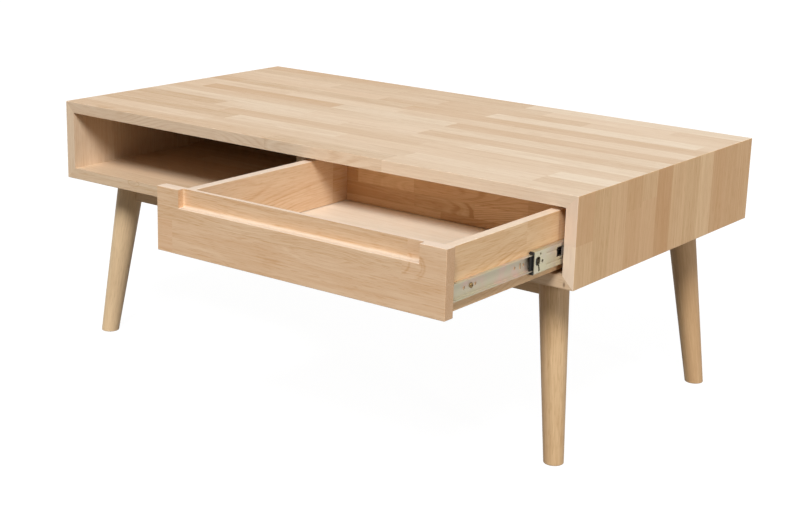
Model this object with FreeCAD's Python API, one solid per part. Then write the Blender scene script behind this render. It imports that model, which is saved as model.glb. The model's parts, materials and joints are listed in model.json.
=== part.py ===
import FreeCAD, Part

# A low oak coffee table: a mitred case with an open niche and one drawer on ball-bearing slides,
# standing on four splayed round legs with a rail between each pair.
# Millimetres, +X along the front to the right, +Y to the back, +Z up, the floor at z = 0.
# The drawer stands pulled out, and the origin is the middle of the floor area that the table then covers.

import math
import os
from collections import namedtuple

Vector = FreeCAD.Vector

# Whole table
table_length = 1100.0
table_depth = 600.0
table_height = 450.0
case_height = 145.0
board = 20.0
case_arris = 1.0
drawer_pull = 303.0

# Loose tongues in the mitres of the case
tongue_thickness = 4.0
tongue_width = 16.0
tongue_shift = 4.0
tongue_end_gap = 40.0
joint_play = 0.1

# Divider, back panel and their dowels
divider_thickness = 20.0
divider_step = 5.0
back_thickness = 18.0
dowel_diameter = 8.0
dowel_length = 30.0
dowel_cover = 8.0
divider_dowel_shares = (0.12, 0.5, 0.88)
back_dowel_shares = (0.08, 0.36, 0.64, 0.92)

# Legs, with their bolts and threaded inserts
leg_top_diameter = 50.0
leg_foot_diameter = 32.6
leg_inset_along = 84.0
leg_inset_across = 85.0
leg_splay_along = 37.0
leg_splay_across = 31.0
foot_round = 1.5
bolt_diameter = 8.0
bolt_depth = 32.0
insert_diameter = 12.0
insert_cover = 6.0
insert_play = 0.2

# Rails between the legs, with their tenons and screws
rail_thickness = 22.0
rail_height = 42.0
rail_arris = 1.0
cope_gap = 0.2
tenon_thickness = 10.0
tenon_shoulder = 8.0
tenon_wall = 6.0
rail_screw_diameter = 5.0
rail_screw_head = 9.5
rail_screw_head_height = 3.5
rail_screw_bore = 11.0
rail_screw_cover = 20.0
rail_screw_tip_cover = 7.0
rail_screw_shares = (0.1, 0.37, 0.63, 0.9)

# Drawer front with its finger recess
front_gap = 2.0
front_thickness = 20.0
front_arris = 0.8
recess_end_gap = 44.5
recess_height = 28.0
recess_lip = 8.0
recess_cove = 4.0
ledge_round = 1.5

# Drawer box
drawer_board = 16.0
side_raise = 4.0
side_drop = 4.5
side_arris = 0.6
bottom_thickness = 5.0
bottom_raise = 5.0
groove_depth = 6.0
groove_play = 0.2
groove_gap = 0.8
drawer_dowel_shares = (0.28, 0.66)

# Slides: the rails and where they stand behind the case's front when the drawer is shut
slide_gap = 12.7
slide_raise = 35.0
slide_length = 400.0
slide_height = 45.0
slide_step = 3.0
middle_step = 3.0
rail_steel = 1.2
fold_share = 1.4
cabinet_rim_gap = 3.7
middle_rim_gap = 2.5
drawer_rim_gap = 0.8
lip_play = 0.4

# Slides: ball cages and balls, and the shares of the drawer's travel that the loose members take
cage_steel = 0.6
cage_rim = 0.9
web_play = 0.4
outer_ball = 3.7
inner_ball = 3.0
ball_play = 0.15
outer_ball_count = 12
inner_ball_count = 6
outer_cage_length = 220.0
inner_cage_length = 80.0
outer_cage_setback = 102.0
inner_cage_setback = 206.0
middle_travel_share = 0.35
outer_cage_travel_share = 0.175
inner_cage_travel_share = 0.675

# Slides: screws, holes, buffer and lever
slide_screw_diameter = 3.5
slide_screw_cover = 4.0
pan_head_diameter = 8.0
pan_head_height = 2.2
pan_head_round = 0.8
cabinet_screw_shares = (0.08, 0.5, 0.92)
drawer_screw_shares = (0.138, 0.535, 0.66)
spare_hole_diameter = 5.0
spare_hole_shares = (0.095, 0.165, 0.415, 0.475)
spare_slot_width = 3.5
spare_slot_height = 9.0
spare_slot_share = 0.4525
access_slot_length = 16.0
access_slot_height = 15.0
access_slot_rise = 4.5
access_slot_setback = 62.0
latch_length = 13.0
latch_height = 13.0
latch_rise = 2.0
latch_round = 5.0
latch_setback = 3.0
latch_tail_width = 4.0
latch_tail_drop = 13.0
latch_tail_shares = (0.4, 0.85)
latch_eye_diameter = 4.0
latch_eye_rise = 12.0
latch_hole_diameter = 5.0
latch_hole_setback = 22.0
crease_setback = 32.0
crease_rise = 8.5
crease_width = 5.0
crease_depth = 0.7
buffer_nose = 6.0
buffer_length = 8.0
buffer_play = 0.3
claw_length = 3.5
claw_round = 1.4
tongue_sink = 0.6
tongue_side_play = 0.8
tongue_play = 0.4
lever_length = 60.0
lever_height = 7.0
lever_setback = 70.5
lever_tab_length = 12.0
lever_play = 0.5

# Cuts run past the face they start from by this much, and points this near are the same place
overrun = 5.0
same_place = 0.02

# Planes and levels that follow from the sizes above
half_length = table_length / 2
front_plane = (drawer_pull - table_depth) / 2
back_plane = front_plane + table_depth
case_middle = (front_plane + back_plane) / 2
case_bottom = table_height - case_height
floor_level = case_bottom + board
ceiling_level = table_height - board
inner_end = half_length - board
divider_face = divider_thickness / 2
divider_front = front_plane + front_thickness + divider_step
back_face = back_plane - back_thickness
panel_dowel_depth = board - dowel_cover
insert_depth = board - insert_cover
rail_screw_bite = board - rail_screw_tip_cover
rail_bottom = case_bottom - rail_height
leg_along = half_length - leg_inset_along
leg_across = table_depth / 2 - leg_inset_across

drawer_face = front_plane - drawer_pull
front_rear = drawer_face + front_thickness
front_left = -divider_face
front_right = inner_end - front_gap
front_bottom = floor_level + front_gap
front_top = ceiling_level - front_gap
side_left = divider_face + slide_gap
side_right = inner_end - slide_gap
side_bottom = front_bottom + side_raise
side_top = front_top - side_drop
side_end = front_rear + slide_length
box_back = side_end - drawer_board
bottom_low = side_bottom + bottom_raise
bottom_high = bottom_low + bottom_thickness
recess_depth = front_thickness - recess_lip
front_dowel_depth = front_thickness - dowel_cover
side_dowel_depth = drawer_board - dowel_cover
slide_screw_bite = drawer_board - slide_screw_cover

# Section of a slide: "across" runs from the face of the case to the drawer's side, "rise" up from its middle
slide_level = floor_level + slide_raise
cabinet_half = slide_height / 2
outer_ball_rise = cabinet_half - rail_steel - ball_play - outer_ball / 2
middle_half = outer_ball_rise - outer_ball / 2 - ball_play
inner_ball_rise = middle_half - rail_steel - ball_play - inner_ball / 2
drawer_half = inner_ball_rise - inner_ball / 2 - ball_play
outer_cage_web = rail_steel + web_play
middle_web = outer_cage_web + cage_steel + web_play
middle_floor = middle_web + rail_steel
middle_rim = slide_gap - middle_rim_gap
inner_cage_web = middle_floor + web_play
drawer_web = slide_gap - rail_steel
drawer_rim = inner_cage_web + cage_steel + drawer_rim_gap
cabinet_rim = slide_gap - cabinet_rim_gap
cabinet_lip = ball_play + outer_ball / 2 - cage_steel / 2 - lip_play
outer_ball_across = cabinet_rim - rail_steel - ball_play - outer_ball / 2
inner_ball_across = (drawer_rim + middle_rim) / 2

# Where the members of a slide start with the drawer pulled out
cabinet_start = divider_front + slide_step
middle_shut = front_plane + front_thickness + middle_step + buffer_nose
middle_start = middle_shut - middle_travel_share * drawer_pull
outer_cage_start = front_plane + outer_cage_setback - outer_cage_travel_share * drawer_pull
inner_cage_start = front_plane + inner_cage_setback - inner_cage_travel_share * drawer_pull
drawer_rail_start = front_rear
drawer_rail_end = drawer_rail_start + slide_length

Slide = namedtuple("Slide", "name face toward")
slides = (Slide("left", divider_face, 1), Slide("right", inner_end, -1))

ahead = Vector(0, 1, 0)
aside = Vector(1, 0, 0)
upward = Vector(0, 0, 1)


def block(low, high):
    """A box between two opposite corners."""
    size = high - low
    return Part.makeBox(size.x, size.y, size.z, low)


def grown(low, high, play):
    """A box that leaves the same play on every side of another box."""
    margin = Vector(play, play, play)
    return block(low - margin, high + margin)


def eased(solid, radius):
    """The solid with all of its edges rounded."""
    return solid.makeFillet(radius, solid.Edges)


def rod(start, along, diameter, length):
    """A round bar from a point along a direction."""
    return Part.makeCylinder(diameter / 2, length, start, along)


def dowel_hole(start, along, length):
    """The hole for a dowel, with play all round and at both ends."""
    return rod(start - along * joint_play, along, dowel_diameter + 2 * joint_play, length + 2 * joint_play)


def prism(points, along):
    """The solid that a closed outline sweeps along a vector."""
    return Part.Face(Part.makePolygon(points + points[:1])).extrude(along)


def trimmed(solid, cutters):
    """The one solid that is left after cutting."""
    return solid.cut(cutters).Solids[0]


def joined(solids):
    """Several solids as one."""
    return solids[0].fuse(solids[1:]).removeSplitter().Solids[0]


def save(name, solids):
    """Write the solids of one node."""
    shape = solids[0] if len(solids) == 1 else Part.makeCompound(solids)
    shape.exportStep(os.path.join("parts", name + ".step"))


def tongue(end, level, play):
    """The loose tongue of one mitre: a strip across the joint, nearer to its inner corner."""
    slant = math.sqrt(2)
    inward = Vector(-end, 0, -level) / slant
    through = Vector(-end, 0, level) / slant
    corner_level = table_height if level > 0 else case_bottom
    start = front_plane + tongue_end_gap - play
    corner = Vector(end * half_length, start, corner_level)
    middle = corner + inward * (board * slant / 2 + tongue_shift)
    wide = through * (tongue_width / 2 + play)
    thick = inward * (tongue_thickness / 2 + play)
    points = [middle - wide - thick, middle + wide - thick, middle + wide + thick, middle - wide + thick]
    return prism(points, ahead * (table_depth - 2 * tongue_end_gap + 2 * play))


def mitre_tongues(play):
    """The tongues of the four mitres."""
    return [tongue(end, level, play) for end in (-1, 1) for level in (-1, 1)]


def case_shell():
    """The four sides of the case before they are parted at the mitres."""
    low = Vector(-half_length, front_plane, case_bottom)
    high = Vector(half_length, back_plane, table_height)
    inside_low = Vector(-inner_end, front_plane - overrun, floor_level)
    inside_high = Vector(inner_end, back_plane + overrun, ceiling_level)
    return trimmed(eased(block(low, high), case_arris), [block(inside_low, inside_high)])


def mitre_wedge(outer, inner):
    """The space of one panel between its two mitres, from its outer and inner edges as (x, z) pairs."""
    start = front_plane - overrun
    points = [Vector(x, start, z) for x, z in outer + inner[::-1]]
    return prism(points, ahead * (table_depth + 2 * overrun))


def case_panel(outer, inner, cutters):
    """One panel of the case, mitred at both ends."""
    panel = case_shell().common(mitre_wedge(outer, inner))
    return trimmed(panel, mitre_tongues(joint_play) + cutters)


def divider_dowel_starts():
    """The lower ends of the divider's dowels, below it and above it."""
    run = back_face - divider_front
    places = [divider_front + share * run for share in divider_dowel_shares]
    low = [Vector(0, place, floor_level - panel_dowel_depth) for place in places]
    high = [Vector(0, place, ceiling_level + panel_dowel_depth - dowel_length) for place in places]
    return low + high


def back_dowel_starts():
    """The lower ends of the back panel's dowels, below it and above it."""
    middle = back_plane - back_thickness / 2
    places = [(2 * share - 1) * inner_end for share in back_dowel_shares]
    low = [Vector(place, middle, floor_level - panel_dowel_depth) for place in places]
    high = [Vector(place, middle, ceiling_level + panel_dowel_depth - dowel_length) for place in places]
    return low + high


def case_dowel_holes():
    """The holes of the upright dowels in the case."""
    starts = divider_dowel_starts() + back_dowel_starts()
    return [dowel_hole(start, upward, dowel_length) for start in starts]


def dowels(starts, along):
    """Dowels from their starting points."""
    return [rod(start, along, dowel_diameter, dowel_length) for start in starts]


def leg_top(end, row):
    """The middle of a leg's top; end is -1 at the left, row is -1 at the front."""
    return Vector(end * leg_along, case_middle + row * leg_across, case_bottom)


def leg_cone(end, row, margin):
    """A leg's tapered bar, longer than the leg at both ends, with a margin all round."""
    top = leg_top(end, row)
    slope = Vector(end * leg_splay_along, row * leg_splay_across, -case_bottom)
    length = slope.Length
    along = slope / length
    taper = (leg_top_diameter - leg_foot_diameter) / 2 / length
    spare = leg_top_diameter / 2
    thick = leg_top_diameter / 2 + taper * spare + margin
    thin = leg_foot_diameter / 2 - taper * spare + margin
    return Part.makeCone(thick, thin, length + 2 * spare, top - along * spare, along)


def tenon(row, play):
    """The bar that runs through a rail and ends as its two tenons."""
    reach = leg_along - bolt_diameter / 2 - tenon_wall + play
    middle = Vector(0, case_middle + row * leg_across, case_bottom - rail_height / 2)
    half = Vector(reach, tenon_thickness / 2 + play, rail_height / 2 - tenon_shoulder + play)
    return block(middle - half, middle + half)


def leg(end, row):
    """One leg, cut level at the floor and under the case, with its mortise and bolt hole."""
    cone = leg_cone(end, row, 0)
    room = Vector(table_length, table_depth, 0)
    cut = cone.common(block(Vector(0, case_middle, 0) - room, Vector(0, case_middle, case_bottom) + room))
    foot = [edge for edge in cut.Edges if edge.BoundBox.ZMax < foot_round]
    rounded = cut.makeFillet(foot_round, foot)
    bolt_hole = rod(leg_top(end, row) + upward * overrun, -upward, bolt_diameter + 2 * joint_play,
                    bolt_depth + joint_play + overrun)
    return trimmed(rounded, [tenon(row, joint_play), bolt_hole])


def leg_bolt(end, row):
    """The hanger bolt that holds a leg in its insert."""
    start = leg_top(end, row) - upward * bolt_depth
    return rod(start, upward, bolt_diameter, bolt_depth + insert_depth)


def insert_hole(end, row):
    """The hole of a threaded insert in the underside of the case."""
    start = leg_top(end, row) - upward * overrun
    return rod(start, upward, insert_diameter + 2 * joint_play, insert_depth + joint_play + overrun)


def leg_insert(end, row):
    """A threaded insert: a bush flush with the underside of the case."""
    bush = rod(leg_top(end, row), upward, insert_diameter, insert_depth)
    bore_start = leg_top(end, row) - upward * overrun
    bore = rod(bore_start, upward, bolt_diameter + 2 * insert_play, insert_depth + 2 * overrun)
    return trimmed(bush, [bore])


def rail_screw_tops():
    """Where the rails' screws pass from the rails into the case."""
    places = [(2 * share - 1) * leg_along for share in rail_screw_shares]
    return {row: [Vector(place, case_middle + row * leg_across, case_bottom) for place in places]
            for row in (-1, 1)}


def rail_screw(top):
    """A screw whose head lies in its counterbore in the rail."""
    seat = top - upward * rail_screw_cover
    head = rod(seat - upward * rail_screw_head_height, upward, rail_screw_head, rail_screw_head_height)
    shank = rod(seat, upward, rail_screw_diameter, rail_screw_cover + rail_screw_bite)
    return joined([head, shank])


def rail_screw_hole(top):
    """The hole of a rail screw, from its counterbore under the rail to its tip in the case."""
    low = Vector(top.x, top.y, rail_bottom - overrun)
    bore = rod(low, upward, rail_screw_bore, rail_height - rail_screw_cover + overrun)
    run = rail_height + rail_screw_bite + joint_play + overrun
    return joined([bore, rod(low, upward, rail_screw_diameter + 2 * joint_play, run)])


def leg_rail(row):
    """The rail between two legs, coped to them and tenoned into them."""
    middle = case_middle + row * leg_across
    low = Vector(-leg_along, middle - rail_thickness / 2, rail_bottom)
    high = Vector(leg_along, middle + rail_thickness / 2, case_bottom)
    bar = eased(block(low, high), rail_arris)
    coped = trimmed(bar, [leg_cone(end, row, cope_gap) for end in (-1, 1)])
    return trimmed(joined([coped, tenon(row, 0)]), [rail_screw_hole(top) for top in rail_screw_tops()[row]])


def bottom_board_corners():
    """The two corners of the drawer's bottom, which runs into grooves all round."""
    low = Vector(side_left + drawer_board - groove_depth, front_rear - groove_depth, bottom_low)
    high = Vector(side_right - drawer_board + groove_depth, box_back + groove_depth, bottom_high)
    return low, high


def bottom_groove():
    """The space that the grooves leave for the drawer's bottom, with a gap above it."""
    low, high = bottom_board_corners()
    return grown(low, high + upward * groove_gap, groove_play)


def drawer_dowel_levels():
    """The heights of the drawer's dowels."""
    return [side_bottom + share * (side_top - side_bottom) for share in drawer_dowel_shares]


def front_dowel_starts(across):
    """The front ends of the dowels between the drawer's front and one side."""
    return [Vector(across, front_rear - front_dowel_depth, level) for level in drawer_dowel_levels()]


def rear_dowel_starts(start):
    """The left ends of the dowels between one side and the drawer's back."""
    return [Vector(start, (box_back + side_end) / 2, level) for level in drawer_dowel_levels()]


left_dowel_across = side_left + drawer_board / 2
right_dowel_across = side_right - drawer_board / 2
front_dowels = front_dowel_starts(left_dowel_across) + front_dowel_starts(right_dowel_across)
left_rear_dowel = side_left + drawer_board - side_dowel_depth
right_rear_dowel = side_right - drawer_board + side_dowel_depth - dowel_length
rear_dowels = rear_dowel_starts(left_rear_dowel) + rear_dowel_starts(right_rear_dowel)


def drawer_dowel_holes():
    """All dowel holes of the drawer box."""
    along_depth = [dowel_hole(start, ahead, dowel_length) for start in front_dowels]
    return along_depth + [dowel_hole(start, aside, dowel_length) for start in rear_dowels]


def finger_recess():
    """The cutter of the finger recess: coved where it meets its back wall."""
    low = Vector(front_left + recess_end_gap, drawer_face - overrun, front_top - recess_height)
    high = Vector(front_right - recess_end_gap, drawer_face + recess_depth, front_top + overrun)
    cutter = block(low, high)
    rear_edges = [edge for edge in cutter.Edges if edge.BoundBox.YMin > drawer_face]
    coves = [edge for edge in rear_edges if edge.BoundBox.ZMin < front_top]
    return cutter.makeFillet(recess_cove, coves)


def ledge_cutter():
    """The cutter that rounds the front edge of the finger recess's ledge."""
    ledge = front_top - recess_height
    low = Vector(front_left + recess_end_gap, drawer_face - overrun, ledge - ledge_round)
    high = Vector(front_right - recess_end_gap, drawer_face + ledge_round, ledge + overrun)
    centre = Vector(low.x, high.y, low.z)
    return trimmed(block(low, high), [rod(centre, aside, 2 * ledge_round, high.x - low.x)])


def drawer_front():
    """The drawer's front, which also covers the divider's edge when the drawer is shut."""
    low = Vector(front_left, drawer_face, front_bottom)
    high = Vector(front_right, front_rear, front_top)
    panel = eased(block(low, high), front_arris)
    return trimmed(panel, [finger_recess(), ledge_cutter(), bottom_groove()] + drawer_dowel_holes())


def drawer_side(start, slide):
    """One side of the drawer, from the plane of its left face."""
    low = Vector(start, front_rear, side_bottom)
    high = Vector(start + drawer_board, side_end, side_top)
    holes = [slide_screw_hole(spot) for spot in drawer_screw_spots(slide)]
    return trimmed(eased(block(low, high), side_arris), [bottom_groove()] + drawer_dowel_holes() + holes)


def drawer_back():
    """The drawer's back, between its sides."""
    low = Vector(side_left + drawer_board, box_back, side_bottom)
    high = Vector(side_right - drawer_board, side_end, side_top)
    return trimmed(eased(block(low, high), side_arris), [bottom_groove()] + drawer_dowel_holes())


def slide_point(slide, across, along, rise):
    """A point of a slide's section at a place along it."""
    return Vector(slide.face + slide.toward * across, along, slide_level + rise)


def slide_block(slide, across, along, rise):
    """A box in a slide's own directions, each given as a pair of limits."""
    ends = sorted(slide.face + slide.toward * value for value in across)
    low = Vector(ends[0], along[0], slide_level + rise[0])
    high = Vector(ends[1], along[1], slide_level + rise[1])
    return block(low, high)


def folded_strip(slide, web, rim, half, steel, start, length):
    """A strip folded to a channel: its web starts at one place across and its flanges end at another."""
    turn = 1 if rim > web else -1
    floor = web + turn * steel
    inner = half - steel
    outline = [(web, -half), (rim, -half), (rim, -inner), (floor, -inner),
               (floor, inner), (rim, inner), (rim, half), (web, half)]
    solid = prism([slide_point(slide, across, start, rise) for across, rise in outline], ahead * length)
    outer_fold = fold_share * steel
    inner_fold = outer_fold - steel
    rounded = solid.makeFillet(outer_fold, fold_edges(slide, solid, web, half))
    return rounded.makeFillet(inner_fold, fold_edges(slide, rounded, floor, inner))


def fold_edges(slide, solid, across, half):
    """The long edges of a strip that lie at one place across, at the given rise above and below."""
    reach = slide_point(slide, across, 0, 0).x
    found = []
    for edge in solid.Edges:
        middle = edge.CenterOfMass
        beside = abs(middle.x - reach) < same_place
        level = abs(abs(middle.z - slide_level) - half) < same_place
        if beside and level and abs(edge.tangentAt(edge.FirstParameter).y) > 1 / 2:
            found.append(edge)
    return found


def cabinet_screw_spots(slide):
    """Where the cabinet rail's screws enter the case."""
    return [slide_point(slide, 0, cabinet_start + share * slide_length, 0) for share in cabinet_screw_shares]


def drawer_screw_spots(slide):
    """Where the drawer rail's screws enter the drawer's side."""
    return [slide_point(slide, slide_gap, drawer_rail_start + share * slide_length, 0)
            for share in drawer_screw_shares]


def slide_screw_hole(spot):
    """The pilot hole of a slide's screw, which reaches both ways from the face it enters."""
    reach = slide_screw_bite + joint_play
    return rod(spot - aside * reach, aside, slide_screw_diameter + 2 * joint_play, 2 * reach)


def cabinet_rail(slide):
    """The rail on the case: a channel whose flanges end in lips, countersunk for its screws."""
    end = cabinet_start + slide_length
    strip = folded_strip(slide, 0, cabinet_rim, cabinet_half, rail_steel, cabinet_start, slide_length)
    outer = cabinet_half - rail_steel
    lips = [slide_block(slide, (cabinet_rim - rail_steel, cabinet_rim), (cabinet_start, end), limits)
            for limits in ((outer - cabinet_lip, outer), (-outer, cabinet_lip - outer))]
    holes = [countersunk(slide, spot, joint_play) for spot in cabinet_screw_spots(slide)]
    return trimmed(joined([strip] + lips), holes)


def countersunk(slide, spot, play):
    """A countersunk head and its shank through the cabinet rail and into the case."""
    out = aside * slide.toward
    radius = slide_screw_diameter / 2 + play
    head = Part.makeCone(radius, radius + rail_steel, rail_steel, spot, out)
    shank = rod(spot - out * slide_screw_bite, out, 2 * radius, slide_screw_bite + rail_steel / 2)
    return joined([head, shank])


def pan_screw(slide, spot):
    """A pan-head screw through the drawer rail into the drawer's side."""
    out = aside * -slide.toward
    shank = rod(spot - out * slide_screw_bite, out, slide_screw_diameter, slide_screw_bite + rail_steel)
    head = rod(spot + out * rail_steel, out, pan_head_diameter, pan_head_height)
    face = (spot + out * (rail_steel + pan_head_height)).x
    rim = [edge for edge in head.Edges if abs(edge.CenterOfMass.x - face) < same_place]
    return joined([head.makeFillet(pan_head_round, rim), shank])


def web_hole(slide, across, along, diameter, rise=0):
    """A round hole through a rail's web."""
    start = slide_point(slide, across, along, rise) - aside * (2 * rail_steel)
    return rod(start, aside, diameter, 4 * rail_steel)


def web_slot(slide, across, along, length, rise, height):
    """A square-ended slot through a rail's web, from a place along it and centred at a rise."""
    limits = (across - 2 * rail_steel, across + 2 * rail_steel)
    return slide_block(slide, limits, (along, along + length), (rise - height / 2, rise + height / 2))


def latch_cut(slide):
    """The cuts behind the front end of the middle rail: a rounded window with a slanted tail, and an eye."""
    start = middle_start + latch_setback
    full = web_slot(slide, middle_web, start, latch_length, latch_rise, latch_height)
    corners = [edge for edge in full.Edges if abs(edge.tangentAt(edge.FirstParameter).x) > 1 / 2]
    window = full.makeFillet(latch_round, corners)
    top_share, end_share = latch_tail_shares
    top_along = start + top_share * latch_length
    end_along = start + end_share * latch_length
    end_rise = -latch_tail_drop
    outline = [(top_along, 0), (top_along + latch_tail_width, 0),
               (end_along + latch_tail_width / 2, end_rise), (end_along - latch_tail_width / 2, end_rise)]
    near = middle_web - 2 * rail_steel
    through = aside * (slide.toward * 4 * rail_steel)
    tail = prism([slide_point(slide, near, along, rise) for along, rise in outline], through)
    tip = web_hole(slide, middle_web, end_along, latch_tail_width, end_rise)
    eye = web_hole(slide, middle_web, start + latch_length, latch_eye_diameter, latch_eye_rise)
    return [window, tail, tip, eye]


def rolled_crease(slide, side):
    """A V-shaped crease along the outer face of the middle rail's web, which stiffens it."""
    start = middle_start + crease_setback
    middle = side * crease_rise
    outline = [(middle_web + crease_depth, middle), (middle_web - crease_depth, middle + crease_width),
               (middle_web - crease_depth, middle - crease_width)]
    points = [slide_point(slide, across, start, rise) for across, rise in outline]
    return prism(points, ahead * (slide_length - crease_setback + overrun))


def middle_rail(slide):
    """The rail between the two others, with its latch cut, latch hole, screw access and creases."""
    strip = folded_strip(slide, middle_web, middle_rim, middle_half, rail_steel, middle_start, slide_length)
    hole = web_hole(slide, middle_web, middle_start + latch_hole_setback, latch_hole_diameter)
    access_start = middle_start + access_slot_setback
    access = web_slot(slide, middle_web, access_start, access_slot_length,
                      access_slot_rise, access_slot_height)
    creases = [rolled_crease(slide, side) for side in (-1, 1)]
    return trimmed(strip, latch_cut(slide) + [hole, access] + creases)


def drawer_rail(slide):
    """The rail on the drawer's side, with its screw holes and spare holes."""
    start = drawer_rail_start
    strip = folded_strip(slide, slide_gap, drawer_rim, drawer_half, rail_steel, start, slide_length)
    screw_holes = [slide_screw_hole(spot) for spot in drawer_screw_spots(slide)]
    spares = [web_hole(slide, slide_gap, start + share * slide_length, spare_hole_diameter)
              for share in spare_hole_shares]
    slot_start = start + spare_slot_share * slide_length - spare_slot_width / 2
    slot = web_slot(slide, slide_gap, slot_start, spare_slot_width, 0, spare_slot_height)
    return trimmed(strip, screw_holes + spares + [slot])


def ball_places(start, length, count):
    """The places of a row of balls along a cage."""
    pitch = length / count
    return [start + pitch * (place + 1 / 2) for place in range(count)]


def ball_cage(slide, web, across, rise, ball, start, length, count):
    """A folded strip with a window for each ball in both of its flanges."""
    rim = across + ball / 2 + cage_rim
    strip = folded_strip(slide, web, rim, rise + cage_steel / 2, cage_steel, start, length)
    windows = []
    for along in ball_places(start, length, count):
        low = slide_point(slide, across, along, -rise - cage_steel)
        windows.append(rod(low, upward, ball + 2 * ball_play, 2 * (rise + cage_steel)))
    return trimmed(strip, windows)


def balls(slide, across, rise, ball, start, length, count):
    """Two rows of balls, one in each flange of a cage."""
    return [Part.makeSphere(ball / 2, slide_point(slide, across, along, side * rise))
            for side in (-1, 1) for along in ball_places(start, length, count)]


def buffer_claw(slide, side):
    """A claw of the buffer, ahead of a flange of the middle rail, with its front rounded."""
    front = middle_start - claw_length
    rise = sorted((side * (drawer_half + buffer_play), side * middle_half))
    full = slide_block(slide, (middle_floor, middle_rim), (front, middle_start), rise)
    middle = full.CenterOfMass.x
    ahead_edges = [edge for edge in full.Edges if abs(edge.CenterOfMass.y - front) < same_place]
    level_edges = [edge for edge in ahead_edges if abs(edge.CenterOfMass.x - middle) < same_place]
    return full.makeFillet(claw_round, level_edges)


def front_buffer(slide):
    """The plastic buffer of the middle rail: a collar inside it, and two claws and a tongue ahead of it."""
    half = middle_half - rail_steel - buffer_play
    inside = (middle_start, middle_start + buffer_length)
    full = slide_block(slide, (middle_floor, middle_rim), inside, (-half, half))
    rounded = full.makeFillet(fold_share * rail_steel, fold_edges(slide, full, middle_floor, half))
    room_half = drawer_half + buffer_play
    room_limits = (inside[0] - overrun, inside[1] + overrun)
    room = slide_block(slide, (drawer_rim - buffer_play, slide_gap), room_limits, (-room_half, room_half))
    tongue_half = drawer_half - rail_steel - tongue_side_play
    tongue_back = drawer_web - pan_head_height - tongue_play
    bridge = slide_block(slide, (middle_floor, tongue_back), inside, (-tongue_half, tongue_half))
    tongue_across = (drawer_rim + tongue_sink, tongue_back)
    tongue_limits = (middle_start - buffer_nose, inside[1])
    tongue = slide_block(slide, tongue_across, tongue_limits, (-tongue_half, tongue_half))
    claws = [buffer_claw(slide, side) for side in (-1, 1)]
    return joined([trimmed(rounded, [room]), bridge, tongue] + claws)


def release_lever(slide):
    """The plastic lever that frees the drawer rail: a bar as flat as the screw heads, and a tab."""
    end = drawer_rail_end - lever_setback
    start = end - lever_length
    across = (drawer_web - pan_head_height, drawer_web)
    bar = slide_block(slide, across, (start, end), (-lever_height / 2, lever_height / 2))
    half = drawer_half - rail_steel - lever_play
    tab = slide_block(slide, across, (start, start + lever_tab_length), (-half, half))
    return joined([bar, tab])


def case_nodes():
    """The panels of the case with the joints that hold them."""
    outer = {"top": [(-half_length, table_height), (half_length, table_height)],
             "bottom": [(-half_length, case_bottom), (half_length, case_bottom)],
             "left": [(-half_length, case_bottom), (-half_length, table_height)],
             "right": [(half_length, case_bottom), (half_length, table_height)]}
    inner = {"top": [(-inner_end, ceiling_level), (inner_end, ceiling_level)],
             "bottom": [(-inner_end, floor_level), (inner_end, floor_level)],
             "left": [(-inner_end, floor_level), (-inner_end, ceiling_level)],
             "right": [(inner_end, floor_level), (inner_end, ceiling_level)]}
    inserts = [insert_hole(end, row) for end in (-1, 1) for row in (-1, 1)]
    rail_holes = [rail_screw_hole(top) for tops in rail_screw_tops().values() for top in tops]
    left_slide, right_slide = slides
    cutters = {"top": case_dowel_holes(),
               "bottom": case_dowel_holes() + inserts + rail_holes,
               "left": [],
               "right": [slide_screw_hole(spot) for spot in cabinet_screw_spots(right_slide)]}
    nodes = {side + "_panel": [case_panel(outer[side], inner[side], cutters[side])] for side in outer}
    divider_low = Vector(-divider_face, divider_front, floor_level)
    divider = block(divider_low, Vector(divider_face, back_face, ceiling_level))
    divider_holes = [slide_screw_hole(spot) for spot in cabinet_screw_spots(left_slide)]
    nodes["divider"] = [trimmed(divider, case_dowel_holes() + divider_holes)]
    back = block(Vector(-inner_end, back_face, floor_level), Vector(inner_end, back_plane, ceiling_level))
    nodes["back_panel"] = [trimmed(back, case_dowel_holes())]
    nodes["mitre_tongues"] = mitre_tongues(0)
    nodes["divider_dowels"] = dowels(divider_dowel_starts(), upward)
    nodes["back_dowels"] = dowels(back_dowel_starts(), upward)
    return nodes


def leg_nodes():
    """The legs, rails and what holds them."""
    nodes = {}
    corners = [(end, row) for row in (-1, 1) for end in (-1, 1)]
    end_names = {-1: "left", 1: "right"}
    row_names = {-1: "front", 1: "rear"}
    for end, row in corners:
        nodes[row_names[row] + "_" + end_names[end] + "_leg"] = [leg(end, row)]
    for row, name in row_names.items():
        nodes[name + "_rail"] = [leg_rail(row)]
    nodes["rail_screws"] = [rail_screw(top) for tops in rail_screw_tops().values() for top in tops]
    nodes["leg_bolts"] = [leg_bolt(end, row) for end, row in corners]
    nodes["leg_inserts"] = [leg_insert(end, row) for end, row in corners]
    return nodes


def drawer_nodes():
    """The drawer box."""
    left_slide, right_slide = slides
    return {"drawer_front": [drawer_front()],
            "drawer_left_side": [drawer_side(side_left, left_slide)],
            "drawer_right_side": [drawer_side(side_right - drawer_board, right_slide)],
            "drawer_back": [drawer_back()],
            "drawer_bottom": [block(*bottom_board_corners())],
            "drawer_dowels": dowels(front_dowels, ahead) + dowels(rear_dowels, aside)}


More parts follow.
